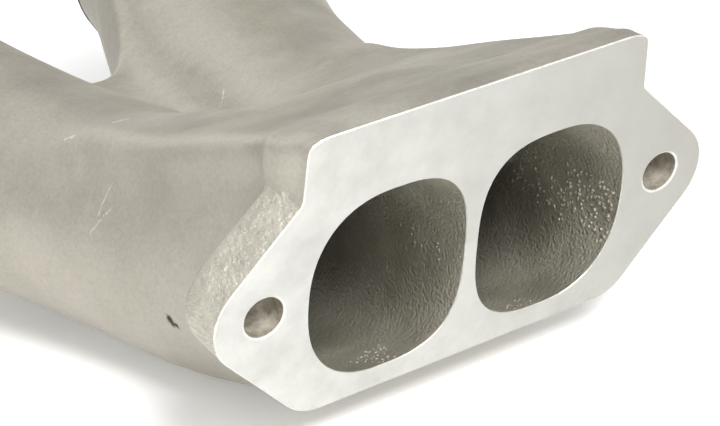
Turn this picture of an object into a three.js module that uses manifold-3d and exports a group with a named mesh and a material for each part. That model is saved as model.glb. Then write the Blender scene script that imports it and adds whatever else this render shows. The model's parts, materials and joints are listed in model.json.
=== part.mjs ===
// Twin-port intake manifold: one aluminium casting that joins a two-port cylinder-head flange to two
// carburettor flanges, with the studs, nuts, washers, gaskets and hose fittings that belong on it.
// Everything is drawn in the head flange's own axes and then laid down as the part rests on a bench:
//   x runs along the two head studs, y runs back along the runners, z runs up the head flange.
import * as THREE from 'three';
import { mergeVertices } from 'three/addons/utils/BufferGeometryUtils.js';
import Module from 'manifold-3d';

const wasm = await Module();
wasm.setup();

// ---- driving dimensions, millimetres ----
const REST_TILT = 19.2;          // degrees: the part lies on its runner bellies and lower carb ears
const HEAD_STUD_SPACING = 92;
const STUD_DIAMETER = 8;         // M8 throughout
const HEAD_HOLE_DIAMETER = 8.4;
const HEAD_PLATE = 10.7;         // thickness of the stud ears
const HEAD_TOP = 33.8;
const HEAD_BOTTOM = -25.8;
const HEAD_TOP_HALF_WIDTH = 38.1;
const EAR_RADIUS = 10.4;
const PORT_CENTRE_X = 18.95;
const PORT_CENTRE_Z = -1.35;
const PORT_HALF_WIDTH = 17.5;
const PORT_HALF_HEIGHT = 19.8;
const PORT_INNER_SQUARENESS = 2.95;   // superellipse exponents: 2 is an ellipse
const PORT_OUTER_SQUARENESS = 2.35;
const RUNNER_LENGTH = 195;       // head face to carburettor face, which are parallel
const CARB_CENTRE_X = 60;
const CARB_CENTRE_Z = -44;
const CARB_BORE_RADIUS = 24;
const CARB_STUD_OFFSET = 42;     // from the bore's centre, up and down
const CARB_PLATE = 12;
const CARB_FLANGE_RADIUS = 33;
const CARB_EAR_RADIUS = 10;
const CLEARANCE = 0.3;           // gap between pieces that touch on the real part

// Runner stations from the head face to the carburettor face: centre, bore half sizes, wall thickness.
const STATIONS = [
  { y: 0, x: PORT_CENTRE_X, z: PORT_CENTRE_Z, width: PORT_HALF_WIDTH, height: PORT_HALF_HEIGHT, wall: 5.5 },
  { y: 38, x: 19.4, z: -20.3, width: 17.9, height: 21, wall: 6 },
  { y: 72, x: 22.8, z: -32.2, width: 18.6, height: 19.5, wall: 5.5 },
  { y: 102, x: 29, z: -39, width: 20, height: 20, wall: 5 },
  { y: 133, x: 36.3, z: -44.5, width: 22.7, height: 21.7, wall: 5 },
  { y: 162, x: 47, z: -44.6, width: 25, height: 23, wall: 5 },
  { y: RUNNER_LENGTH, x: CARB_CENTRE_X, z: CARB_CENTRE_Z, width: CARB_BORE_RADIUS, height: CARB_BORE_RADIUS, wall: 5.5 },
];

const castAluminium = new THREE.MeshStandardMaterial({ color: '#b5b2a8', roughness: 0.62, metalness: 0.85 });
const zincSteel = new THREE.MeshStandardMaterial({ color: '#c3c3bd', roughness: 0.32, metalness: 1 });
const studSteel = new THREE.MeshStandardMaterial({ color: '#a8a49a', roughness: 0.38, metalness: 1 });
const springSteel = new THREE.MeshStandardMaterial({ color: '#6d6c6a', roughness: 0.45, metalness: 1 });
const gasketFibre = new THREE.MeshStandardMaterial({ color: '#5b5f52', roughness: 0.92, metalness: 0 });
const brass = new THREE.MeshStandardMaterial({ color: '#b4904b', roughness: 0.35, metalness: 1 });

// ---- joining and cutting ----

// Positions only, with shared vertices merged.
function welded(geometry) {
  const bare = geometry.clone();
  bare.deleteAttribute('normal');
  bare.deleteAttribute('uv');
  return mergeVertices(bare, 1e-4);
}

function solid(geometry) {
  const merged = welded(geometry);
  return new wasm.Manifold(new wasm.Mesh({
    numProp: 3,
    vertProperties: new Float32Array(merged.attributes.position.array),
    triVerts: new Uint32Array(merged.index.array),
  }));
}

function geometryOf(manifold) {
  const cut = manifold.getMesh();
  const geometry = new THREE.BufferGeometry();
  geometry.setAttribute('position', new THREE.BufferAttribute(new Float32Array(cut.vertProperties), 3));
  geometry.setIndex(new THREE.BufferAttribute(new Uint32Array(cut.triVerts), 1));
  geometry.computeVertexNormals();
  return geometry;
}

// The same shape on the other side of the plane x = 0, with its faces still pointing out.
function mirrored(geometry) {
  const copy = welded(geometry).scale(-1, 1, 1);
  const index = copy.index.array;
  for (let i = 0; i < index.length; i += 3) {
    [index[i + 1], index[i + 2]] = [index[i + 2], index[i + 1]];
  }
  return copy;
}

// A flat outline drawn in x and z, given its thickness along y from yStart to yEnd.
function plate(shape, yStart, yEnd, curveSegments = 7) {
  const geometry = new THREE.ExtrudeGeometry(shape, { depth: yEnd - yStart, bevelEnabled: false, curveSegments });
  return geometry.rotateX(Math.PI / 2).translate(0, yEnd, 0);
}

// A round piece turned about the y axis: the profile gives radius and y, and closes on itself.
function turned(profile, segments = 14) {
  const points = [...profile, profile[0]].map(([radius, y]) => new THREE.Vector2(radius, y));
  return new THREE.LatheGeometry(points, segments);
}

function rod(radius, yStart, yEnd, segments = 16) {
  return new THREE.CylinderGeometry(radius, radius, yEnd - yStart, segments).translate(0, (yStart + yEnd) / 2, 0);
}

// A closed outline whose corners are rounded: each corner is [x, z, radius].
function roundedOutline(corners) {
  const shape = new THREE.Shape();
  corners.forEach(([x, z, radius], i) => {
    const here = new THREE.Vector2(x, z);
    const before = new THREE.Vector2(...corners.at(i - 1).slice(0, 2)).sub(here).normalize();
    const after = new THREE.Vector2(...corners[(i + 1) % corners.length].slice(0, 2)).sub(here).normalize();
    const half = Math.acos(before.dot(after)) / 2;
    const centre = before.clone().add(after).normalize().multiplyScalar(radius / Math.sin(half)).add(here);
    const start = before.multiplyScalar(radius / Math.tan(half)).add(here).sub(centre);
    const end = after.multiplyScalar(radius / Math.tan(half)).add(here).sub(centre);
    shape.absarc(centre.x, centre.y, radius, start.angle(), end.angle(), start.cross(end) < 0);
  });
  return shape;
}

// ---- runners ----

const centreLine = new THREE.CatmullRomCurve3(
  STATIONS.map((s) => new THREE.Vector3(s.x, s.y, s.z)), false, 'catmullrom', 0.5);
const boreSize = new THREE.CatmullRomCurve3(
  STATIONS.map((s) => new THREE.Vector3(s.width, s.wall, s.height)), false, 'catmullrom', 0.5);

// A superellipse that is rounder on one side of its centre than the other.
function ring(angle, halfWidth, halfHeight, innerSquareness, outerSquareness) {
  const power = 2 / (Math.cos(angle) < 0 ? innerSquareness : outerSquareness);
  const reach = (value) => Math.abs(value) < 1e-6 ? 0 : Math.sign(value) * Math.abs(value) ** power;
  return { x: reach(Math.cos(angle)) * halfWidth, z: reach(Math.sin(angle)) * halfHeight };
}

// A closed solid through sections that all lie parallel to the head face. section(t) gives its centre and
// an outline by angle; overrun lengthens both ends straight out.
function throughSections(section, { around, steps, overrun = 0 }) {
  const slices = overrun > 0 ? steps + 2 : steps;
  const firstSlice = overrun > 0 ? 1 : 0;
  const geometry = new THREE.CylinderGeometry(1, 1, 1, around, slices);
  const position = geometry.attributes.position;
  for (let i = 0; i < position.count; i += 1) {
    const slice = Math.round((position.getY(i) + 0.5) * slices) - firstSlice;
    const { centre, outline } = section(THREE.MathUtils.clamp(slice / steps, 0, 1));
    const radius = Math.hypot(position.getX(i), position.getZ(i));
    const point = outline(Math.atan2(position.getZ(i), position.getX(i)));
    const past = THREE.MathUtils.clamp(slice, -1, 0) + THREE.MathUtils.clamp(slice - steps, 0, 1);
    position.setXYZ(i, centre.x + point.x * radius, centre.y + past * overrun, centre.z + point.z * radius);
  }
  return geometry;
}

// One runner's section: its bore, plus a share of the wall. The port's squareness fades to a round bore.
function runnerSection(t, wallShare) {
  const size = boreSize.getPoint(t);
  const round = Math.min(1, t * 1.5);
  const inner = THREE.MathUtils.lerp(PORT_INNER_SQUARENESS, 2, round);
  const outer = THREE.MathUtils.lerp(PORT_OUTER_SQUARENESS, 2, round);
  const outline = (angle) => ring(angle, size.x + wallShare * size.y, size.z + wallShare * size.y, inner, outer);
  return { centre: centreLine.getPoint(t), outline };
}

// ---- the casting ----

function headFlangeOutline() {
  const right = [
    [HEAD_TOP_HALF_WIDTH, HEAD_TOP, 2.6],
    [38.8, 21.4, 1.2],
    [60.5, -0.1, EAR_RADIUS],
    [36.9, HEAD_BOTTOM, 9.5],
  ];
  const left = right.map(([x, z, radius]) => [-x, z, radius]).reverse();
  return roundedOutline([...right, ...left]);
}

// The thick shoulder that ramps down from the flange's top edge and dies into the two runners, hollowed
// a little along its middle.
function topRamp() {
  const topLine = new THREE.SplineCurve([
    new THREE.Vector2(2, HEAD_TOP - 0.2), new THREE.Vector2(18, 25.5), new THREE.Vector2(35, 16.8),
    new THREE.Vector2(52, 7.4), new THREE.Vector2(74, -6),
  ]);
  const depth = 20;
  const squareness = 7;
  const section = (t) => {
    const top = topLine.getPoint(t);
    const outline = (angle) => {
      const point = ring(angle, HEAD_TOP_HALF_WIDTH - 0.4, depth, squareness, squareness);
      const hollow = 7 * t * Math.cos(THREE.MathUtils.clamp(point.x / 30, -1, 1) * Math.PI / 2) ** 2;
      return { x: point.x, z: point.z - (point.z > 0 ? hollow : 0) };
    };
    return { centre: new THREE.Vector3(0, top.x, top.y - depth), outline };
  };
  return throughSections(section, { around: 32, steps: 6 });
}

// The web that fills the fork between the runners, ending in a round hollow.
function forkWeb() {
  const hollow = 8;
  const forkY = 134;
  const shape = new THREE.Shape();
  shape.moveTo(-20, 70);
  shape.lineTo(20, 70);
  shape.lineTo(24, forkY + 16);
  shape.lineTo(16, forkY + 16);
  shape.absarc(0, forkY + hollow, hollow, 0, Math.PI, true);
  shape.lineTo(-16, forkY + 16);
  shape.lineTo(-24, forkY + 16);
  shape.closePath();
  return new THREE.ExtrudeGeometry(shape, { depth: 20, bevelEnabled: false, curveSegments: 6 }).translate(0, 0, -56);
}

function carbFlangeOutline(boreRadius, earHoleRadius) {
  const lean = Math.asin((CARB_FLANGE_RADIUS - CARB_EAR_RADIUS) / CARB_STUD_OFFSET);
  const shape = new THREE.Shape();
  shape.absarc(0, 0, CARB_FLANGE_RADIUS, -lean, lean, false);
  shape.absarc(0, CARB_STUD_OFFSET, CARB_EAR_RADIUS, lean, Math.PI - lean, false);
  shape.absarc(0, 0, CARB_FLANGE_RADIUS, Math.PI - lean, Math.PI + lean, false);
  shape.absarc(0, -CARB_STUD_OFFSET, CARB_EAR_RADIUS, Math.PI + lean, 2 * Math.PI - lean, false);
  const holes = [[0, boreRadius], [CARB_STUD_OFFSET, earHoleRadius], [-CARB_STUD_OFFSET, earHoleRadius]];
  shape.holes = holes.filter(([, radius]) => radius > 0).map(([z, radius]) => {
    return new THREE.Path().absarc(0, z, radius, 0, 2 * Math.PI, true);
  });
  return shape;
}

const BARB = { x: 48, y: 163, boss: 8, hole: 5.3, top: -8.5 };   // hose fitting boss on each runner's top

// What is cut off the back of the head flange's top edge, where the plate is thinner than at its ears.
function topEdgeCut() {
  const edge = HEAD_TOP + 1;
  const side = new THREE.Shape();
  side.moveTo(2.5, edge);
  side.lineTo(HEAD_PLATE + 1, edge);
  side.lineTo(HEAD_PLATE + 1, 29);
  side.closePath();
  const across = new THREE.Matrix4().makeBasis(
    new THREE.Vector3(0, 1, 0), new THREE.Vector3(0, 0, 1), new THREE.Vector3(1, 0, 0));
  const width = 2 * HEAD_TOP_HALF_WIDTH + 4;
  const geometry = new THREE.ExtrudeGeometry(side, { depth: width, bevelEnabled: false });
  return geometry.applyMatrix4(across).translate(-width / 2, 0, 0);
}

function castingBody() {
  const outside = throughSections((t) => runnerSection(THREE.MathUtils.lerp(0.03, 0.99, t), 1), { around: 26, steps: 14 });
  const bore = throughSections((t) => runnerSection(t, 0), { around: 26, steps: 14, overrun: 1 });
  const carbFlange = plate(carbFlangeOutline(0, 0), RUNNER_LENGTH - CARB_PLATE, RUNNER_LENGTH)
    .translate(CARB_CENTRE_X, 0, CARB_CENTRE_Z);
  const boss = rod(BARB.boss, -14, 0).rotateX(Math.PI / 2).translate(BARB.x, BARB.y, BARB.top);
  const bossHole = rod(BARB.hole, -24, 1).rotateX(Math.PI / 2).translate(BARB.x, BARB.y, BARB.top);
  const headHole = rod(HEAD_HOLE_DIAMETER / 2, -1, HEAD_PLATE + 14).translate(HEAD_STUD_SPACING / 2, 0, 0);
  const carbHoles = [CARB_STUD_OFFSET, -CARB_STUD_OFFSET].map((offset) => {
    return rod(STUD_DIAMETER / 2 + CLEARANCE, RUNNER_LENGTH - CARB_PLATE - 1, RUNNER_LENGTH + 1)
      .translate(CARB_CENTRE_X, 0, CARB_CENTRE_Z + offset);
  });
  const headFlange = solid(plate(headFlangeOutline(), 0, HEAD_PLATE)).subtract(solid(topEdgeCut()));
  let body = headFlange.add(solid(topRamp())).add(solid(forkWeb()));
  for (const piece of [outside, carbFlange, boss]) {
    body = body.add(solid(piece)).add(solid(mirrored(piece)));
  }
  for (const cut of [bore, bossHole, headHole, ...carbHoles]) {
    body = body.subtract(solid(cut)).subtract(solid(mirrored(cut)));
  }
  return geometryOf(body);
}

// ---- carburettor-end hardware: each is drawn about the y axis, with y = 0 on the carburettor face ----

const GASKET_THICKNESS = 1;
const WASHER_THICKNESS = 1.6;
const SPRING_WASHER_THICKNESS = 2;
const NUT_THICKNESS = 6.5;
const washerBase = GASKET_THICKNESS + 2 * CLEARANCE;
const springBase = washerBase + WASHER_THICKNESS + CLEARANCE;
const nutBase = springBase + SPRING_WASHER_THICKNESS + CLEARANCE;
const ON_STUD = STUD_DIAMETER / 2 + CLEARANCE;   // inner radius of what slides over a stud

function stud() {
  const radius = STUD_DIAMETER / 2;
  const low = -CARB_PLATE + 1;
  const high = 28;
  return turned([[0, low], [radius - 0.8, low], [radius, low + 0.8], [radius, high - 0.8], [radius - 0.8, high], [0, high]]);
}

function nut() {
  const acrossFlats = 13;
  const hex = new THREE.Shape(Array.from({ length: 6 }, (_, i) => {
    const angle = (i + 0.5) * Math.PI / 3;
    return new THREE.Vector2(Math.cos(angle), Math.sin(angle)).multiplyScalar(acrossFlats / Math.sqrt(3));
  }));
  hex.holes = [new THREE.Path().absarc(0, 0, ON_STUD, 0, 2 * Math.PI, true)];
  return plate(hex, nutBase, nutBase + NUT_THICKNESS);
}

function springWasher() {
  const outer = 7.4;
  const split = 0.16;   // half the angle of the split, radians
  const ring = new THREE.Shape();
  ring.absarc(0, 0, outer, split, 2 * Math.PI - split, false);
  ring.absarc(0, 0, ON_STUD, 2 * Math.PI - split, split, true);
  ring.closePath();
  return plate(ring, springBase, springBase + SPRING_WASHER_THICKNESS);
}

function plainWasher() {
  const outer = 8;
  const top = washerBase + WASHER_THICKNESS;
  return turned([[ON_STUD, washerBase], [outer, washerBase], [outer, top], [ON_STUD, top]]);
}

// ---- hose fitting: a hexagon with a barbed tail above the boss and a short shank inside it ----

function hoseBarb() {
  const flange = 0.3;
  const tail = turned([
    [2, -7], [5, -7], [5, flange], [5.5, flange], [5.5, 6], [3.6, 6], [3.6, 12], [4.4, 12.4], [3.6, 15],
    [4.4, 15.4], [3.6, 18], [4.4, 18.4], [3.4, 21.5], [2, 21.5],
  ]);
  const hex = new THREE.CylinderGeometry(7, 7, 5, 6).translate(0, flange + 2.5, 0);
  const core = rod(2.2, -1, 7);
  return geometryOf(solid(tail).add(solid(hex).subtract(solid(core))));
}

// ---- assembly ----

const manifold = new THREE.Group();
manifold.name = 'intake_manifold';
manifold.rotation.x = THREE.MathUtils.degToRad(REST_TILT);

function place(name, geometry, material, x = 0, y = 0, z = 0) {
  const piece = new THREE.Mesh(geometry, material);
  piece.name = name;
  piece.position.set(x, y, z);
  manifold.add(piece);
  return piece;
}

place('manifold_casting', castingBody(), castAluminium);

for (const [side, sign] of [['left', -1], ['right', 1]]) {
  const x = sign * CARB_CENTRE_X;
  const gasket = plate(carbFlangeOutline(CARB_BORE_RADIUS + 0.5, ON_STUD + 0.4), CLEARANCE, CLEARANCE + GASKET_THICKNESS);
  place(`carb_gasket_${side}`, gasket, gasketFibre, x, RUNNER_LENGTH, CARB_CENTRE_Z);
  for (const [level, offset] of [['upper', CARB_STUD_OFFSET], ['lower', -CARB_STUD_OFFSET]]) {
    const at = [x, RUNNER_LENGTH, CARB_CENTRE_Z + offset];
    place(`carb_stud_${side}_${level}`, stud(), studSteel, ...at);
    place(`plain_washer_${side}_${level}`, plainWasher(), zincSteel, ...at);
    place(`spring_washer_${side}_${level}`, springWasher(), springSteel, ...at);
    place(`stud_nut_${side}_${level}`, nut(), zincSteel, ...at);
  }
  const barb = place(`hose_barb_${side}`, hoseBarb(), brass, sign * BARB.x, BARB.y, BARB.top);
  barb.rotation.x = Math.PI / 2;
}

export default manifold;
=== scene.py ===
"""The looks of a cast twin-port intake manifold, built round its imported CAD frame.

Lengths in the classes are millimetres in the head flange's own axes (x along the head studs, y back along
the runners, z up the flange). As its last step, each finished mesh is turned and scaled into the frame's
metres.
"""

import json
import logging
import math
from dataclasses import dataclass, field
from enum import Enum
from typing import Any, Callable

import bmesh
import bpy
import numpy as np
from mathutils import Matrix, Vector

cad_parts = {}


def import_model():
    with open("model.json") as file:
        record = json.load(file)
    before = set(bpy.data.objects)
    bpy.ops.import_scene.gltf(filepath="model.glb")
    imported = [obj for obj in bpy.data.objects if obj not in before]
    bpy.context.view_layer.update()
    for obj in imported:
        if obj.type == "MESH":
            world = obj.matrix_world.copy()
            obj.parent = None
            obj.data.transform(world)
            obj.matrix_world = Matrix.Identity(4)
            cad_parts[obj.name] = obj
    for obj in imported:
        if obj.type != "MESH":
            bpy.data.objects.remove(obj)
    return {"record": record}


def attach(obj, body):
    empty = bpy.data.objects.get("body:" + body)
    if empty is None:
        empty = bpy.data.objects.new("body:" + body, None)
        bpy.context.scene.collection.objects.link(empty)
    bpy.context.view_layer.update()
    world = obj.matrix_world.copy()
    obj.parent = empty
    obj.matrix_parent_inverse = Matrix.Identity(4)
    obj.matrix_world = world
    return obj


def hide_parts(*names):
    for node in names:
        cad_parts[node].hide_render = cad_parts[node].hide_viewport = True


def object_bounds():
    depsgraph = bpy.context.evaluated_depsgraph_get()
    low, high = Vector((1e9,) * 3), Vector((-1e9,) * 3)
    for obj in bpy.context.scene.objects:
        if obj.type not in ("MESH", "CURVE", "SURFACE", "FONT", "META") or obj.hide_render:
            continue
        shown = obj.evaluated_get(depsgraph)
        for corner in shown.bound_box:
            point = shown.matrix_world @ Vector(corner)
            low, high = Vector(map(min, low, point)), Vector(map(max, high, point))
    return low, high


LOG = logging.getLogger("intake_manifold")
MM = 0.001
WAVES_PER_UNIT = 20 / math.tau  # how often a wave texture repeats over one unit at scale 1
Triple = tuple[float, float, float]


class Side(Enum):
    """Which runner a piece belongs to, by the sign of its x."""

    LEFT = -1
    RIGHT = 1


class Level(Enum):
    """Which ear of a carburettor flange a piece belongs to, by the sign of its height."""

    UPPER = 1
    LOWER = -1


class Skin(Enum):
    """The casting's surfaces, in the order of its material slots."""

    CAST = 0
    MILLED = 1
    BORE = 2
    GROUND = 3
    DRILLED = 4
    EDGE = 5


# ---------------------------------------------------------------------------------------------------------
# Numbers and curves
# ---------------------------------------------------------------------------------------------------------


@dataclass(frozen=True)
class Knots:
    """A smooth curve through a few knots: at[i] gives values[i].

    Attributes:
        at: Where the knots are, rising.
        values: The curve's value at each knot.
    """

    at: tuple[float, ...]
    values: tuple[float, ...]

    def __call__(self, where: np.ndarray) -> np.ndarray:
        """Reads the cubic through the knots, held level past both ends.

        Args:
            where: Where to read it.

        Returns:
            The curve's values.
        """
        at = np.array(self.at)
        values = np.array(self.values)
        slopes = np.gradient(values, at)
        w = np.clip(where, at[0], at[-1])
        i = np.clip(np.searchsorted(at, w, side="right") - 1, 0, len(at) - 2)
        gap = at[i + 1] - at[i]
        s = (w - at[i]) / gap
        rise = values[i + 1] - values[i]
        return (
            values[i]
            + s * gap * slopes[i]
            + s**2 * (3 * rise - gap * (2 * slopes[i] + slopes[i + 1]))
            + s**3 * (gap * (slopes[i] + slopes[i + 1]) - 2 * rise)
        )

    def slope(self, where: np.ndarray) -> np.ndarray:
        """Returns the curve's slope."""
        return self(where + 0.5) - self(where - 0.5)


def smooth_min(a: np.ndarray, b: np.ndarray, reach: float | np.ndarray) -> np.ndarray:
    """Joins two distance fields with a fillet.

    Args:
        a: One field.
        b: The other field.
        reach: How far apart the two values may be and still blend, about 1.2 times the fillet's radius.

    Returns:
        The joined field.
    """
    h = np.clip(1 - np.abs(a - b) / reach, 0, 1)
    return np.minimum(a, b) - h * h * reach / 4


def smooth_max(a: np.ndarray, b: np.ndarray, reach: float | np.ndarray) -> np.ndarray:
    """Returns what both fields hold, with the edge between them rounded."""
    return -smooth_min(-a, -b, reach)


def ramp(low: float, high: float, where: np.ndarray) -> np.ndarray:
    """Returns 0 at low, 1 at high and a smooth S between; low may be the larger."""
    s = np.clip((where - low) / (high - low), 0, 1)
    return s * s * (3 - 2 * s)


def rounded_polygon(corners: list[Triple], steps: int = 9) -> np.ndarray:
    """Rounds the corners of a polygon.

    Args:
        corners: x, z and radius of each corner.
        steps: Points on each rounded corner.

    Returns:
        The outline's points, one row each.
    """
    points = []
    for i, (x, z, radius) in enumerate(corners):
        here = np.array((x, z))
        before = np.array(corners[i - 1][:2]) - here
        after = np.array(corners[(i + 1) % len(corners)][:2]) - here
        before /= np.linalg.norm(before)
        after /= np.linalg.norm(after)
        half = math.acos(float(before @ after)) / 2
        middle = (before + after) / np.linalg.norm(before + after)
        centre = here + middle * radius / math.sin(half)
        start = here + before * radius / math.tan(half) - centre
        end = here + after * radius / math.tan(half) - centre
        turn = math.atan2(start[0] * end[1] - start[1] * end[0], float(start @ end))
        for angle in np.linspace(0, turn, steps):
            c, s = math.cos(angle), math.sin(angle)
            points.append(centre + (c * start[0] - s * start[1], s * start[0] + c * start[1]))
    return np.array(points)


def polygon_distance(outline: np.ndarray, x: np.ndarray, z: np.ndarray) -> np.ndarray:
    """Measures how far points are from a closed outline.

    Args:
        outline: Its points, one row each.
        x: The points' x.
        z: The points' z.

    Returns:
        The signed distance, negative inside.
    """
    x, z = np.broadcast_arrays(x, z)
    nearest = np.full(x.shape, np.inf)
    inside = np.zeros(x.shape, bool)
    for (ax, az), (bx, bz) in zip(outline, np.roll(outline, -1, axis=0)):
        dx, dz = bx - ax, bz - az
        if dx == dz == 0:
            continue
        s = np.clip(((x - ax) * dx + (z - az) * dz) / (dx * dx + dz * dz), 0, 1)
        nearest = np.minimum(nearest, np.hypot(x - ax - s * dx, z - az - s * dz))
        crosses = (az > z) != (bz > z)
        if dz != 0:
            inside ^= crosses & (x < ax + (z - az) * dx / dz)
    return np.where(inside, -nearest, nearest)


# ---------------------------------------------------------------------------------------------------------
# The casting's shape
# ---------------------------------------------------------------------------------------------------------


@dataclass(frozen=True)
class HeadFlange:
    """The machined flange that bolts to the cylinder head."""

    thickness: float = 10.7
    stud_x: float = 46.0
    hole_radius: float = 4.2
    seat_radius: float = 7.2
    top: float = 33.8
    half_corners: tuple[Triple, ...] = (
        (38.1, 33.8, 2.6), (38.8, 21.4, 1.2), (60.5, -0.1, 10.4), (36.9, -25.8, 9.5),
    )

    def outline(self) -> np.ndarray:
        """Returns the flange's outline in x and z."""
        left = [(-x, z, radius) for x, z, radius in reversed(self.half_corners)]
        return rounded_polygon([*self.half_corners, *left])


@dataclass(frozen=True)
class RunnerPath:
    """The right runner: where its sections lie and how large its bore and wall are."""

    length: float = 195.0
    stations: tuple[float, ...] = (0, 38, 72, 102, 133, 162, 195)
    x: tuple[float, ...] = (18.95, 19.4, 22.8, 29, 36.3, 47, 60)
    z: tuple[float, ...] = (-1.35, -20.3, -32.2, -39, -44.5, -44.6, -44)
    width: tuple[float, ...] = (17.5, 17.9, 18.6, 20, 22.7, 25, 24)
    height: tuple[float, ...] = (19.8, 21, 19.5, 20, 21.7, 23, 24)
    wall: tuple[float, ...] = (5.5, 6, 5.5, 5, 5, 5, 5.5)
    inner_squareness: float = 2.95
    outer_squareness: float = 2.35
    square_until: float = 125.0

    def distance(self, x: np.ndarray, y: np.ndarray, z: np.ndarray, wall_share: float) -> np.ndarray:
        """Measures how far points are from the runner.

        Args:
            x: Across the flange.
            y: Back along the runner.
            z: Up the flange.
            wall_share: 0 for the bore, 1 for the outside of the wall.

        Returns:
            The distance, negative inside.
        """
        centre_x = Knots(self.stations, self.x)
        centre_z = Knots(self.stations, self.z)
        wall = Knots(self.stations, self.wall)(y) * wall_share
        width = Knots(self.stations, self.width)(y) + wall
        height = Knots(self.stations, self.height)(y) + wall
        dx, dz = x - centre_x(y), z - centre_z(y)
        square = np.where(dx < 0, self.inner_squareness, self.outer_squareness)
        power = 2 + (square - 2) * (1 - ramp(0, self.square_until, y))
        share = (np.abs(dx / width) ** power + np.abs(dz / height) ** power) ** (1 / power)
        far = np.hypot(dx, dz)
        radius = np.where(share > 1e-6, far / np.maximum(share, 1e-6), width)
        lean = (centre_x.slope(y) * dx + centre_z.slope(y) * dz) / np.maximum(far, 1e-6)
        return (far - radius) / np.sqrt(1 + lean * lean)


@dataclass(frozen=True)
class CarbFlange:
    """One of the two pads that carry the carburettor."""

    x: float = 60.0
    z: float = -44.0
    bore: float = 24.0
    radius: float = 33.0
    ear_radius: float = 10.0
    stud_offset: float = 42.0
    thickness: float = 12.0
    hole_radius: float = 4.3

    def outline_distance(self, x: np.ndarray, z: np.ndarray) -> np.ndarray:
        """Measures how far points are from the pad's outline, drawn round x = z = 0.

        Args:
            x: The points' x.
            z: The points' z.

        Returns:
            The signed distance, negative inside.
        """
        across, up = np.abs(x), np.abs(z)
        lean = (self.radius - self.ear_radius) / self.stud_offset
        rise = math.sqrt(1 - lean * lean)
        side = up * rise - across * lean
        straight = across * rise + up * lean - self.radius
        ear = np.hypot(across, up - self.stud_offset) - self.ear_radius
        return np.where(side < 0, np.hypot(across, up) - self.radius,
                        np.where(side > self.stud_offset * rise, ear, straight))


@dataclass(frozen=True)
class BarbBoss:
    """The small boss on each runner's top that a hose fitting screws into."""

    x: float = 48.0
    y: float = 163.0
    radius: float = 8.0
    hole_radius: float = 5.3
    top: float = -8.5
    floor: float = -32.0


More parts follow.
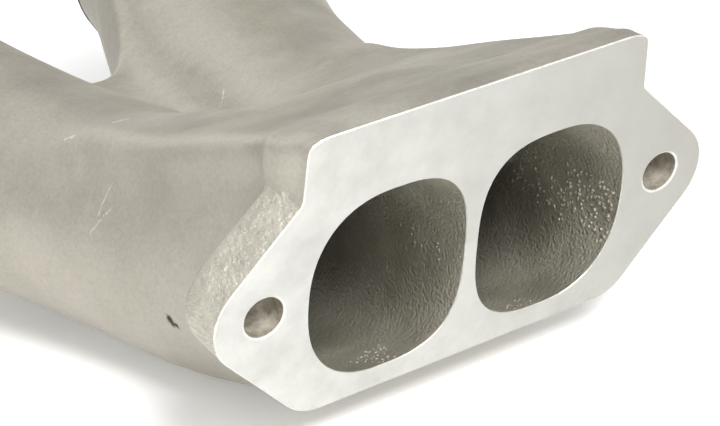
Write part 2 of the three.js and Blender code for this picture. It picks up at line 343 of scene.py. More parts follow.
@dataclass(frozen=True)
class CastingField:
    """The whole casting as one distance field, so that every join has its cast fillet."""

    head: HeadFlange = field(default_factory=HeadFlange)
    path: RunnerPath = field(default_factory=RunnerPath)
    carb: CarbFlange = field(default_factory=CarbFlange)
    boss: BarbBoss = field(default_factory=BarbBoss)
    shoulder_edge: Knots = Knots(
        (0, 6, 12, 22, 40, 55, 68, 79, 95),
        (35.3, 32.4, 28.9, 23.1, 12.6, 3.8, -3.3, -8.3, -18))
    shoulder_dip: Knots = Knots((0, 50, 58, 66, 75, 95), (0, 0, 2.2, 6.5, 12, 20))
    shoulder_valley: Knots = Knots((50, 66, 80, 92), (18, 21, 32, 38))
    shoulder_end: float = 86.0
    fork_y: float = 137.5
    crotch_fillet: float = 7.0
    pad_fillet: float = 6.0
    boss_fillet: float = 4.0
    slope_share: float = 0.87

    def runners(self, x: np.ndarray, y: np.ndarray, z: np.ndarray, wall_share: float) -> np.ndarray:
        """Measures how far points are from both runners together.

        Args:
            x: Across the flange.
            y: Back along the runners.
            z: Up the flange.
            wall_share: 0 for the bores, 1 for the outside of the walls.

        Returns:
            The distance, negative inside.
        """
        right = self.path.distance(x, y, z, wall_share)
        left = self.path.distance(-x, y, z, wall_share)
        return smooth_min(right, left, self.crotch_fillet) if wall_share else np.minimum(right, left)

    def shoulder(self, x: np.ndarray, y: np.ndarray, z: np.ndarray) -> np.ndarray:
        """Shapes the thick shoulder that ramps down from the flange's top edge.

        Args:
            x: Across the flange.
            y: Back along the runners.
            z: Up the flange.

        Returns:
            The distance, negative inside.
        """
        width = self.shoulder_valley(y)
        dip = self.shoulder_dip(y) * np.cos(np.clip(x / width, -1, 1) * math.pi / 2) ** 2
        top = np.minimum(self.shoulder_edge(y), self.head.top) - dip
        over = (z - top) * self.slope_share
        beside = np.abs(x) - (37.9 - 1.5 * ramp(12, 80, y))
        block = smooth_max(over, beside, 4.0 + 2.0 * ramp(8, 34, y))
        under = Knots(self.path.stations, self.path.z)(y) - 2 - z
        return smooth_max(smooth_max(block, y - self.shoulder_end, 10.0), under, 3.0)

    def web(self, x: np.ndarray, y: np.ndarray, z: np.ndarray) -> np.ndarray:
        """Shapes the web that fills the fork between the runners.

        Args:
            x: Across the flange.
            y: Back along the runners.
            z: Up the flange.

        Returns:
            The distance, negative inside.
        """
        end = (y - self.fork_y - x * x / 16) * 0.9
        middle = Knots(self.path.stations, self.path.z)(y) - 2.0
        slab = smooth_max(np.abs(z - middle) - 9.5, np.abs(x) - 22, 4.0)
        return smooth_max(smooth_max(slab, end, 3.0), 60 - y, 4.0)

    def gusset(self, x: np.ndarray, y: np.ndarray, z: np.ndarray) -> np.ndarray:
        """Shapes the swelling that carries the flange's lower half back into the runners.

        Args:
            x: Across the flange.
            y: Back along the runners.
            z: Up the flange.

        Returns:
            The distance, negative inside.
        """
        shrunk = polygon_distance(self.head.outline(), x, z) + 0.12 + 0.1 * y + 0.0085 * y * y
        behind = y - self.head.thickness
        low_half = (z - 4.0 + 0.65 * np.maximum(-behind, 0) + 1.0 * np.maximum(behind, 0)) * 0.75
        return smooth_max(shrunk * 0.9, low_half, 3.0)

    def head_plate(self, x: np.ndarray, y: np.ndarray, z: np.ndarray) -> np.ndarray:
        """Shapes the head flange's plate.

        Args:
            x: Across the flange.
            y: Back along the runners.
            z: Up the flange.

        Returns:
            The distance, negative inside.
        """
        outline = polygon_distance(self.head.outline(), x, z)
        plate = smooth_max(outline, y - self.head.thickness, 1.6)
        sunk = 0.9 + 1.2 * ramp(32, 38, np.abs(x))
        return smooth_max(plate, (z + sunk - self.shoulder_edge(y)) * self.slope_share, 0.6)

    def carb_plates(self, x: np.ndarray, y: np.ndarray, z: np.ndarray) -> np.ndarray:
        """Returns the distance to both carburettor pads, which run past their machined faces."""
        outline = self.carb.outline_distance(np.abs(x) - self.carb.x, z - self.carb.z) + 0.35
        return smooth_max(outline, self.path.length - self.carb.thickness - y, 2.0)

    def outside(self, x: np.ndarray, y: np.ndarray, z: np.ndarray) -> np.ndarray:
        """Shapes the casting before anything is bored or drilled.

        Args:
            x: Across the flange.
            y: Back along the runners.
            z: Up the flange.

        Returns:
            The distance, negative inside.
        """
        tubes = smooth_max(self.runners(x, y, z, 1.0), 6.5 - y, 1.0)
        body = smooth_min(tubes, self.web(x, y, z), self.crotch_fillet)
        body = smooth_min(body, self.shoulder(x, y, z), self.crotch_fillet)
        body = smooth_min(body, self.gusset(x, y, z), 5.0 * ramp(0.0, 12.0, y) + 0.2)
        fairing = 0.6 + (1.0 + 5.0 * ramp(19.0, 22.0, z) * ramp(32.0, 27.0, z)) * ramp(0.0, 8.0, y)
        body = smooth_min(body, self.head_plate(x, y, z), fairing)
        body = smooth_min(body, self.carb_plates(x, y, z), self.pad_fillet)
        boss = np.hypot(np.abs(x) - self.boss.x, y - self.boss.y) - self.boss.radius
        boss = smooth_max(smooth_max(boss, z - self.boss.top, 1.5), self.boss.floor - z, 2.0)
        body = smooth_min(body, boss, self.boss_fillet)
        # A sand mould is never quite even: the skin rises and falls by a fifth of a millimetre.
        waves = np.sin(x / 6.7 + y / 17 + 1.3) * np.sin(y / 8.9 + z / 21 + 0.4)
        waves = waves * np.sin(z / 7.7 - x / 19 + 2.1)
        return body + 0.2 * waves * ramp(0, 14, y)

    def holes(self, x: np.ndarray, y: np.ndarray, z: np.ndarray) -> np.ndarray:
        """Shapes everything drilled: head stud holes, nut seats, carb stud holes, bosses.

        Args:
            x: Across the flange.
            y: Back along the runners.
            z: Up the flange.

        Returns:
            The distance, negative inside.
        """
        side = np.abs(x)
        from_stud = np.hypot(side - self.head.stud_x, z)
        drilled = np.maximum(from_stud - self.head.hole_radius, y - 30)
        seat = smooth_max(from_stud - self.head.seat_radius, self.head.thickness - y, 1.0)
        seat = smooth_max(smooth_max(seat, y - 20, 3.0), -5 - z, 2.0)
        drilled = np.minimum(drilled, seat)
        for level in Level:
            ear_z = self.carb.z + level.value * self.carb.stud_offset
            ear = np.hypot(side - self.carb.x, z - ear_z) - self.carb.hole_radius
            drilled = np.minimum(drilled, np.maximum(ear, self.path.length - 20 - y))
        boss = np.hypot(side - self.boss.x, y - self.boss.y) - self.boss.hole_radius
        return np.minimum(drilled, np.maximum(boss, self.boss.floor + 8 - z))

    def bores(self, x: np.ndarray, y: np.ndarray, z: np.ndarray) -> np.ndarray:
        """Returns the distance to the two passages, a little uneven as sand cores leave them."""
        uneven = np.sin(x / 4.1 + 0.7) * np.sin(y / 5.3 + z / 9) * np.sin(z / 4.7 + 1.9)
        return self.runners(x, y, z, 0.0) + 0.16 * uneven * ramp(1, 12, y)

    def solid(self, x: np.ndarray, y: np.ndarray, z: np.ndarray) -> np.ndarray:
        """Returns the finished casting's distance field."""
        cut = np.minimum(self.bores(x, y, z), self.holes(x, y, z))
        return np.maximum(self.outside(x, y, z), -cut)


@dataclass(frozen=True)
class SurfaceNet:
    """Turns a distance field into a mesh of even quads.

    Attributes:
        step: Spacing of the sampling grid.
        low: The grid's lowest corner.
        high: The grid's highest corner.
    """

    step: float
    low: Triple
    high: Triple

    def build(self, distance: Callable[..., np.ndarray]) -> tuple[np.ndarray, np.ndarray]:
        """Samples the field and places one vertex in every cell that its surface crosses.

        Args:
            distance: The field, called with x, y and z.

        Returns:
            The vertices and the quads, which face outwards.
        """
        axes = [np.arange(a, b + self.step, self.step) for a, b in zip(self.low, self.high)]
        x, y, z = np.meshgrid(*axes, indexing="ij", sparse=True)
        value = distance(x, y, z)
        inside = value < 0
        cells = tuple(n - 1 for n in value.shape)
        total = np.zeros((*cells, 3))
        count = np.zeros(cells)
        crossings = []
        for axis in range(3):
            near = [slice(None)] * 3
            far = [slice(None)] * 3
            near[axis] = slice(None, -1)
            far[axis] = slice(1, None)
            v0, v1 = value[tuple(near)], value[tuple(far)]
            at = np.argwhere(inside[tuple(near)] != inside[tuple(far)])
            d0, d1 = v0[tuple(at.T)], v1[tuple(at.T)]
            point = at.astype(float)
            point[:, axis] += d0 / (d0 - d1)
            others = [a for a in range(3) if a != axis]
            ok = np.all((at[:, others] >= 1) & (at[:, others] < np.array(cells)[others]), axis=1)
            crossings.append((axis, others, at[ok], d0[ok] < 0))
            for shift_a in (0, 1):
                for shift_b in (0, 1):
                    cell = at.copy()
                    cell[:, others[0]] -= shift_a
                    cell[:, others[1]] -= shift_b
                    good = np.all((cell >= 0) & (cell < np.array(cells)), axis=1)
                    np.add.at(total, tuple(cell[good].T), point[good])
                    np.add.at(count, tuple(cell[good].T), 1)
        used = count > 0
        number = np.full(cells, -1)
        number[used] = np.arange(used.sum())
        vertices = total[used] / count[used][:, None] * self.step + np.array([a[0] for a in axes])
        quads = []
        for axis, others, at, solid_first in crossings:
            ring = []
            for shift_a, shift_b in ((1, 1), (0, 1), (0, 0), (1, 0)):
                cell = at.copy()
                cell[:, others[0]] -= shift_a
                cell[:, others[1]] -= shift_b
                ring.append(number[tuple(cell.T)])
            quad = np.stack(ring, axis=1)
            flip = solid_first if axis != 1 else ~solid_first
            quad[~flip] = quad[~flip][:, ::-1]
            quads.append(quad)
        return self.settle(distance, vertices), np.concatenate(quads)

    def settle(self, distance: Callable[..., np.ndarray], vertices: np.ndarray) -> np.ndarray:
        """Moves vertices onto the field's surface, by at most half a cell.

        Args:
            distance: The field.
            vertices: Points near its surface.

        Returns:
            The moved points.
        """
        here = vertices.copy()
        for _ in range(2):
            value = distance(*here.T)
            nudge = 0.05
            slope = np.stack([
                (distance(*(here + nudge * unit).T) - value) / nudge for unit in np.eye(3)
            ], axis=1)
            step = -value[:, None] * slope / np.maximum((slope**2).sum(1), 0.2)[:, None]
            here += np.clip(step, -0.3 * self.step, 0.3 * self.step)
        return here


# ---------------------------------------------------------------------------------------------------------
# Where things go
# ---------------------------------------------------------------------------------------------------------


@dataclass(frozen=True)
class Placing:
    """Carries shapes from the head flange's axes, in millimetres, to the frame's, in metres."""

    matrix: Matrix

    @classmethod
    def from_record(cls, record: dict[str, Any]) -> "Placing":
        """Reads how the part lies from the way its head face looks.

        Args:
            record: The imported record.

        Returns:
            The placing.
        """
        face = next(m for m in record["mounts"] if m["name"] == "head_face")
        _, back, up = (-component for component in face["axis"])
        tilt = math.atan2(up, back)
        return cls(Matrix.Scale(MM, 4) @ Matrix.Rotation(tilt, 4, "X"))

    def direction(self, vector: Triple) -> Vector:
        """Returns a direction of the flange's axes in the frame."""
        return (self.matrix.to_3x3() @ Vector(vector)).normalized()

    def point(self, position: Triple) -> Vector:
        """Returns a place of the flange's axes in the frame, in metres."""
        return self.matrix @ Vector(position)


def mesh_object(name: str, vertices: np.ndarray, faces: np.ndarray) -> bpy.types.Object:
    """Makes a mesh object at the origin and links it to the scene.

    Args:
        name: The piece's name.
        vertices: Its points, one row each.
        faces: The vertex numbers of each face.

    Returns:
        The object.
    """
    mesh = bpy.data.meshes.new(name)
    mesh.from_pydata(vertices.tolist(), [], faces.tolist() if hasattr(faces, "tolist") else faces)
    mesh.validate()
    piece = bpy.data.objects.new(name, mesh)
    bpy.context.scene.collection.objects.link(piece)
    return piece


def outward(mesh: bpy.types.Mesh) -> None:
    """Merges doubled vertices and turns every face outwards.

    Args:
        mesh: A closed mesh.
    """
    bm = bmesh.new()
    bm.from_mesh(mesh)
    bmesh.ops.remove_doubles(bm, verts=bm.verts, dist=1e-4)
    bmesh.ops.recalc_face_normals(bm, faces=bm.faces)
    bm.to_mesh(mesh)
    bm.free()


# ---------------------------------------------------------------------------------------------------------
# Finishes
# ---------------------------------------------------------------------------------------------------------


def linear(code: str) -> tuple[float, float, float, float]:
    """Turns an sRGB hex colour into the linear values that shaders use."""
    channels = [int(code[i:i + 2], 16) / 255 for i in (1, 3, 5)]
    return (*[c / 12.92 if c <= 0.04045 else ((c + 0.055) / 1.055) ** 2.4 for c in channels], 1.0)


def per_mm(size: float) -> float:
    """Returns the noise scale, in cells per metre, that gives features of this size in millimetres."""
    return 1.0 / (size * MM)


def add_node(tree: bpy.types.NodeTree, kind: str, links: dict[Any, Any] | None = None,
             **settings: Any) -> bpy.types.Node:
    """Adds a node to a tree.

    Args:
        tree: The tree.
        kind: The node's type.
        links: Inputs by name or number: an output socket to link, or a value to set.
        **settings: Properties of the node.

    Returns:
        The node.
    """
    node = tree.nodes.new(kind)
    for key, value in settings.items():
        setattr(node, key, value)
    for key, value in (links or {}).items():
        if isinstance(value, bpy.types.NodeSocket):
            tree.links.new(value, node.inputs[key])
        else:
            node.inputs[key].default_value = value
    return node


def colour_steps(node: bpy.types.Node, steps: list[tuple[float, str]]) -> None:
    """Sets a colour ramp's stops.

    Args:
        node: The colour ramp.
        steps: Each stop's position and sRGB hex colour.
    """
    elements = node.color_ramp.elements
    while len(elements) < len(steps):
        elements.new(0.5)
    for element, (position, code) in zip(elements, steps):
        element.position = position
        element.color = linear(code)


@dataclass(frozen=True)
class Finish:
    """What every finish is made of: a metal or plain surface with grain that scales from millimetres."""

    name: str
    dark: str
    light: str
    metallic: float
    roughness: float
    patch_mm: float = 14.0
    grain_mm: float = 0.6
    grain_depth: float = 0.08

    def build(self) -> bpy.types.Material:
        """Makes the material, with its colour patches, roughness variation and grain.

        Returns:
            The material.
        """
        material = bpy.data.materials.new(self.name)
        material.use_nodes = True
        tree = material.node_tree
        tree.nodes.clear()
        shader = add_node(tree, "ShaderNodeBsdfPrincipled", {
            "Metallic": self.metallic, "Roughness": self.roughness})
        out = add_node(tree, "ShaderNodeOutputMaterial", {"Surface": shader.outputs["BSDF"]})
        out.location = (400, 0)
        place = add_node(tree, "ShaderNodeTexCoord").outputs["Object"]
        self.dress(tree, shader, place)
        return material

    def dress(self, tree: bpy.types.NodeTree, shader: bpy.types.Node, place: bpy.types.NodeSocket) -> None:
        """Links colour, roughness and bump to the shader.

        Args:
            tree: The material's node tree.
            shader: Its shader.
            place: The Object coordinates.
        """
        patches = add_node(tree, "ShaderNodeTexNoise", {
            "Vector": place, "Scale": per_mm(self.patch_mm), "Detail": 5.0, "Roughness": 0.62})
        tone = add_node(tree, "ShaderNodeValToRGB", {"Fac": patches.outputs["Fac"]})
        colour_steps(tone, [(0.32, self.dark), (0.68, self.light)])
        tree.links.new(tone.outputs["Color"], shader.inputs["Base Color"])
        grain = add_node(tree, "ShaderNodeTexNoise", {
            "Vector": place, "Scale": per_mm(self.grain_mm), "Detail": 3.0})
        bump = add_node(tree, "ShaderNodeBump", {
            "Height": grain.outputs["Fac"], "Distance": self.grain_depth * MM, "Strength": 1.0})
        tree.links.new(bump.outputs["Normal"], shader.inputs["Normal"])


@dataclass(frozen=True)
class Mark:
    """A scratch, chip or pit on a surface; a pit is painted shade, a dark spot with no hollow modelled.

    Attributes:
        start: One end, in the frame's metres.
        end: The other end.
        width: Half its width in millimetres.
        pale: Whether it shows bright metal, as a scratch does; if not, it is a pit's painted shade, a dark
            spot.
    """

    start: Vector
    end: Vector
    width: float
    pale: bool = True

    def mask(self, tree: bpy.types.NodeTree, place: bpy.types.NodeSocket) -> bpy.types.NodeSocket:
        """Makes a mask that is 1 along the middle of the mark and falls to 0 at its sides.

        Args:
            tree: The material's node tree.
            place: The Object coordinates.

        Returns:
            The mask's socket.
        """
        along = self.end - self.start
        from_start = add_node(tree, "ShaderNodeVectorMath", {0: place, 1: self.start}, operation="SUBTRACT")
        share = add_node(tree, "ShaderNodeVectorMath", {
            0: from_start.outputs["Vector"], 1: along / along.length_squared}, operation="DOT_PRODUCT")
        held = add_node(tree, "ShaderNodeClamp", {"Value": share.outputs["Value"]})
        nearest = add_node(tree, "ShaderNodeVectorMath", {
            0: along, "Scale": held.outputs["Result"]}, operation="SCALE")
        gap = add_node(tree, "ShaderNodeVectorMath", {
            0: from_start.outputs["Vector"], 1: nearest.outputs["Vector"]}, operation="DISTANCE")
        return add_node(tree, "ShaderNodeMapRange", {
            "Value": gap.outputs["Value"], "From Min": 0.4 * self.width * MM, "From Max": self.width * MM,
            "To Min": 1.0, "To Max": 0.0}).outputs["Result"]


@dataclass(frozen=True)
class BlastedCasting(Finish):
    """Sand-cast aluminium after bead blasting: a matt warm grey skin of fine pits, with scratches."""

    name: str = "bead_blasted_cast_aluminium"
    dark: str = "#a6a297"
    light: str = "#bbb7ad"
    metallic: float = 0.8
    roughness: float = 0.56
    marks: tuple[Mark, ...] = ()

    def dress(self, tree: bpy.types.NodeTree, shader: bpy.types.Node, place: bpy.types.NodeSocket) -> None:
        """Links colour, roughness and bump to the shader.

        Args:
            tree: The material's node tree.
            shader: Its shader.
            place: The Object coordinates.
        """
        patches = add_node(tree, "ShaderNodeTexNoise", {
            "Vector": place, "Scale": per_mm(26), "Detail": 6.0, "Roughness": 0.6})
        tone = add_node(tree, "ShaderNodeValToRGB", {"Fac": patches.outputs["Fac"]})
        colour_steps(tone, [(0.3, self.dark), (0.7, self.light)])
        specks = add_node(tree, "ShaderNodeTexNoise", {
            "Vector": place, "Scale": per_mm(0.9), "Detail": 4.0, "Roughness": 0.75})
        speck_tone = add_node(tree, "ShaderNodeValToRGB", {"Fac": specks.outputs["Fac"]})
        colour_steps(speck_tone, [(0.3, "#f1efec"), (0.62, "#ffffff")])
        mixed = add_node(tree, "ShaderNodeMix", {
            "Factor": 1.0, "A": tone.outputs["Color"], "B": speck_tone.outputs["Color"]},
            data_type="RGBA", blend_type="MULTIPLY")
        shaky = add_node(tree, "ShaderNodeTexNoise", {"Vector": place, "Scale": per_mm(1.2), "Detail": 3.0})
        shift = add_node(tree, "ShaderNodeVectorMath", {
            0: shaky.outputs["Color"], 1: (0.5, 0.5, 0.5)}, operation="SUBTRACT")
        small = add_node(tree, "ShaderNodeVectorMath", {
            0: shift.outputs["Vector"], "Scale": 1.3 * MM}, operation="SCALE")
        moved = add_node(tree, "ShaderNodeVectorMath", {
            0: place, 1: small.outputs["Vector"]}, operation="ADD")
        colour = mixed.outputs["Result"]
        # Scratches take a pale metal colour; pits take a painted dark shade in place of a modelled hollow.
        for mark in self.marks:
            colour = add_node(tree, "ShaderNodeMix", {
                "Factor": mark.mask(tree, moved.outputs["Vector"]), "A": colour,
                "B": linear("#cbc7bd" if mark.pale else "#2b2822")}, data_type="RGBA").outputs["Result"]
        tree.links.new(colour, shader.inputs["Base Color"])
        rough = add_node(tree, "ShaderNodeMapRange", {
            "Value": patches.outputs["Fac"], "From Min": 0.3, "From Max": 0.7,
            "To Min": 0.5, "To Max": 0.66})
        tree.links.new(rough.outputs["Result"], shader.inputs["Roughness"])
        # Blasting leaves pits under half a millimetre across, over slow hollows 6 mm wide from the mould.
        pits = add_node(tree, "ShaderNodeTexNoise", {
            "Vector": place, "Scale": per_mm(0.45), "Detail": 2.0, "Roughness": 0.6})
        sand = add_node(tree, "ShaderNodeTexNoise", {
            "Vector": place, "Scale": per_mm(6.0), "Detail": 4.0, "Roughness": 0.45})
        fine = add_node(tree, "ShaderNodeBump", {
            "Height": pits.outputs["Fac"], "Distance": 0.035 * MM, "Strength": 1.0})
        coarse = add_node(tree, "ShaderNodeBump", {
            "Height": sand.outputs["Fac"], "Distance": 0.4 * MM, "Strength": 1.0,
            "Normal": fine.outputs["Normal"]})
        tree.links.new(coarse.outputs["Normal"], shader.inputs["Normal"])


@dataclass(frozen=True)
class MilledAluminium(Finish):
    """A flange face cut by a face mill: bright, nearly flat, with the cutter's faint arcs."""

    name: str = "face_milled_aluminium"
    dark: str = "#afafab"
    light: str = "#c4c4c0"
    metallic: float = 1.0
    roughness: float = 0.36
    # The colour of the painted shade on the face's upper right.
    painted_shade: str = "#97958e"
    cutter_mm: float = 1.776
    centre: Triple = (0.0, 0.0, 0.0)

    def dress(self, tree: bpy.types.NodeTree, shader: bpy.types.Node, place: bpy.types.NodeSocket) -> None:
        """Links colour, roughness and bump to the shader.

        Args:
            tree: The material's node tree.
            shader: Its shader.
            place: The Object coordinates.
        """
        moved = add_node(tree, "ShaderNodeMapping", {"Vector": place, "Location": self.centre})
        arcs = add_node(tree, "ShaderNodeTexWave", {
            "Vector": moved.outputs["Vector"], "Scale": per_mm(self.cutter_mm) / WAVES_PER_UNIT,
            "Distortion": 1.2,
            "Detail": 2.0, "Detail Scale": 0.4}, wave_type="RINGS", rings_direction="SPHERICAL")
        dirt = add_node(tree, "ShaderNodeTexNoise", {
            "Vector": place, "Scale": per_mm(9), "Detail": 6.0, "Roughness": 0.65})
        tone = add_node(tree, "ShaderNodeValToRGB", {"Fac": dirt.outputs["Fac"]})
        colour_steps(tone, [(0.3, self.dark), (0.65, self.light)])
        # Painted shade: the base colour greys towards the face's upper right, standing in for a duller
        # reflection there.
        painted_shade = add_node(tree, "ShaderNodeVectorMath", {
            0: place, 1: (0.8, 0.2, 0.58)}, operation="DOT_PRODUCT")
        painted_shade_share = add_node(tree, "ShaderNodeMapRange", {
            "Value": painted_shade.outputs["Value"], "From Min": -0.03, "From Max": 0.05,
            "To Min": 0.0, "To Max": 0.85})
        with_painted_shade = add_node(tree, "ShaderNodeMix", {
            "Factor": painted_shade_share.outputs["Result"], "A": tone.outputs["Color"], "B": linear(self.painted_shade)},
            data_type="RGBA")
        tree.links.new(with_painted_shade.outputs["Result"], shader.inputs["Base Color"])
        rough = add_node(tree, "ShaderNodeMapRange", {
            "Value": dirt.outputs["Fac"], "From Min": 0.3, "From Max": 0.7, "To Min": 0.3, "To Max": 0.42})
        tree.links.new(rough.outputs["Result"], shader.inputs["Roughness"])
        bump = add_node(tree, "ShaderNodeBump", {
            "Height": arcs.outputs["Fac"], "Distance": 0.01 * MM, "Strength": 1.0})
        grain = add_node(tree, "ShaderNodeTexNoise", {"Vector": place, "Scale": per_mm(0.5), "Detail": 2.0})
        worn = add_node(tree, "ShaderNodeBump", {
            "Height": grain.outputs["Fac"], "Distance": 0.012 * MM, "Strength": 1.0,
            "Normal": bump.outputs["Normal"]})
        tree.links.new(worn.outputs["Normal"], shader.inputs["Normal"])


@dataclass(frozen=True)
class CoredBore(Finish):
    """The skin a sand core leaves inside a passage: dull brown grey, nodular, never blasted."""

    name: str = "sand_cored_aluminium_bore"
    dark: str = "#7f7b6f"
    light: str = "#a4a092"
    metallic: float = 0.35
    roughness: float = 0.44

    def dress(self, tree: bpy.types.NodeTree, shader: bpy.types.Node, place: bpy.types.NodeSocket) -> None:
        """Links colour, roughness and bump to the shader.

        Args:
            tree: The material's node tree.
            shader: Its shader.
            place: The Object coordinates.
        """
        patches = add_node(tree, "ShaderNodeTexNoise", {
            "Vector": place, "Scale": per_mm(16), "Detail": 5.0, "Roughness": 0.6})
        tone = add_node(tree, "ShaderNodeValToRGB", {"Fac": patches.outputs["Fac"]})
        colour_steps(tone, [(0.3, self.dark), (0.7, self.light)])
        tree.links.new(tone.outputs["Color"], shader.inputs["Base Color"])
        sand = add_node(tree, "ShaderNodeTexNoise", {
            "Vector": place, "Scale": per_mm(0.8), "Detail": 2.0, "Roughness": 0.5})
        nodules = add_node(tree, "ShaderNodeTexVoronoi", {
            "Vector": place, "Scale": per_mm(0.7), "Randomness": 1.0}, feature="F1")
        fine = add_node(tree, "ShaderNodeBump", {
            "Height": sand.outputs["Fac"], "Distance": 0.2 * MM, "Strength": 1.0})
        coarse = add_node(tree, "ShaderNodeBump", {
            "Height": nodules.outputs["Distance"], "Distance": 0.22 * MM, "Strength": 1.0,
            "Normal": fine.outputs["Normal"]}, invert=True)
        tree.links.new(coarse.outputs["Normal"], shader.inputs["Normal"])


@dataclass(frozen=True)
class GroundPad(Finish):
    """An ear's edge dressed with a coarse grinding disc: lighter, streaked along the disc's path."""

    name: str = "disc_ground_aluminium"
    dark: str = "#aeaa9e"
    light: str = "#c4c0b4"
    metallic: float = 0.75
    roughness: float = 0.52
    patch_mm: float = 5.0

    def dress(self, tree: bpy.types.NodeTree, shader: bpy.types.Node, place: bpy.types.NodeSocket) -> None:
        """Links colour, roughness and bump to the shader.

        Args:
            tree: The material's node tree.
            shader: Its shader.
            place: The Object coordinates.
        """
        super().dress(tree, shader, place)
        stretched = add_node(tree, "ShaderNodeMapping", {"Vector": place, "Scale": (1.0, 0.6, 1.0)})
        streaks = add_node(tree, "ShaderNodeTexNoise", {
            "Vector": stretched.outputs["Vector"], "Scale": per_mm(1.1), "Detail": 4.0, "Roughness": 0.6})
        bump = add_node(tree, "ShaderNodeBump", {
            "Height": streaks.outputs["Fac"], "Distance": 1.0 * MM, "Strength": 1.0})
        tree.links.new(bump.outputs["Normal"], shader.inputs["Normal"])


# A drilled wall in patches of darker and lighter brown grey, so it reads mottled and brown.
DRILLED_BORE = Finish(
    "drilled_aluminium_mottled", "#878072", "#c6c0b2", 0.6, 0.5, patch_mm=2.5, grain_mm=0.7)
# A machined face's broken edge, coloured lighter than the face as a painted highlight: a thin light line
# round the face.
EDGE_PAINTED_HIGHLIGHT = Finish("broken_edge_painted_highlight", "#b9b8b2", "#d4d3ce", 0.6, 0.42, patch_mm=2.5)
# Bright zinc over smooth steel: a cool, clear, nearly even shine.
ZINC_PLATE = Finish(
    "bright_zinc_plated_steel", "#b7b7b1", "#cfcfca", 1.0, 0.3, grain_mm=0.8, grain_depth=0.01)
# Drawn steel under a film of oil: darker and warmer than the plated parts.
STUD_STEEL = Finish("oiled_drawn_steel", "#8f8b83", "#aca89f", 1.0, 0.36, grain_mm=0.8, grain_depth=0.015)
# Phosphated spring steel: nearly black, with a soft sheen.
SPRING_STEEL = Finish(
    "phosphated_spring_steel", "#55534f", "#6e6c68", 1.0, 0.46, grain_mm=0.5, grain_depth=0.02)
# Brass straight from the lathe: clear yellow, with a fine even grain.
TURNED_BRASS = Finish("turned_brass", "#a98342", "#c7a25b", 1.0, 0.3, grain_mm=0.7, grain_depth=0.01)
# Pressed fibre sheet: dull grey green, with no shine at all.
FIBRE_GASKET = Finish(
    "pressed_fibre_gasket", "#4c5044", "#646959", 0.0, 0.9, patch_mm=5, grain_mm=0.5, grain_depth=0.06)


@dataclass(frozen=True)
class LightTable(Finish):
    """A pale matt sheet with a little light behind it, so that shadows on it stay soft and shallow."""

    name: str = "pale_light_table"
    dark: str = "#f1f1f0"
    light: str = "#f6f6f5"
    metallic: float = 0.0
    roughness: float = 0.9
    glow: float = 0.22

    def dress(self, tree: bpy.types.NodeTree, shader: bpy.types.Node, place: bpy.types.NodeSocket) -> None:
        """Links a barely uneven white to the shader and sets the light behind the sheet.

        Args:
            tree: The material's node tree.
            shader: Its shader.
            place: The Object coordinates.
        """
        cloud = add_node(tree, "ShaderNodeTexNoise", {"Vector": place, "Scale": per_mm(300), "Detail": 2.0})
        tone = add_node(tree, "ShaderNodeValToRGB", {"Fac": cloud.outputs["Fac"]})
        colour_steps(tone, [(0.3, self.dark), (0.7, self.light)])
        tree.links.new(tone.outputs["Color"], shader.inputs["Base Color"])
        shader.inputs["Emission Color"].default_value = linear("#ffffff")
        shader.inputs["Emission Strength"].default_value = self.glow


# ---------------------------------------------------------------------------------------------------------
# The casting
# ---------------------------------------------------------------------------------------------------------


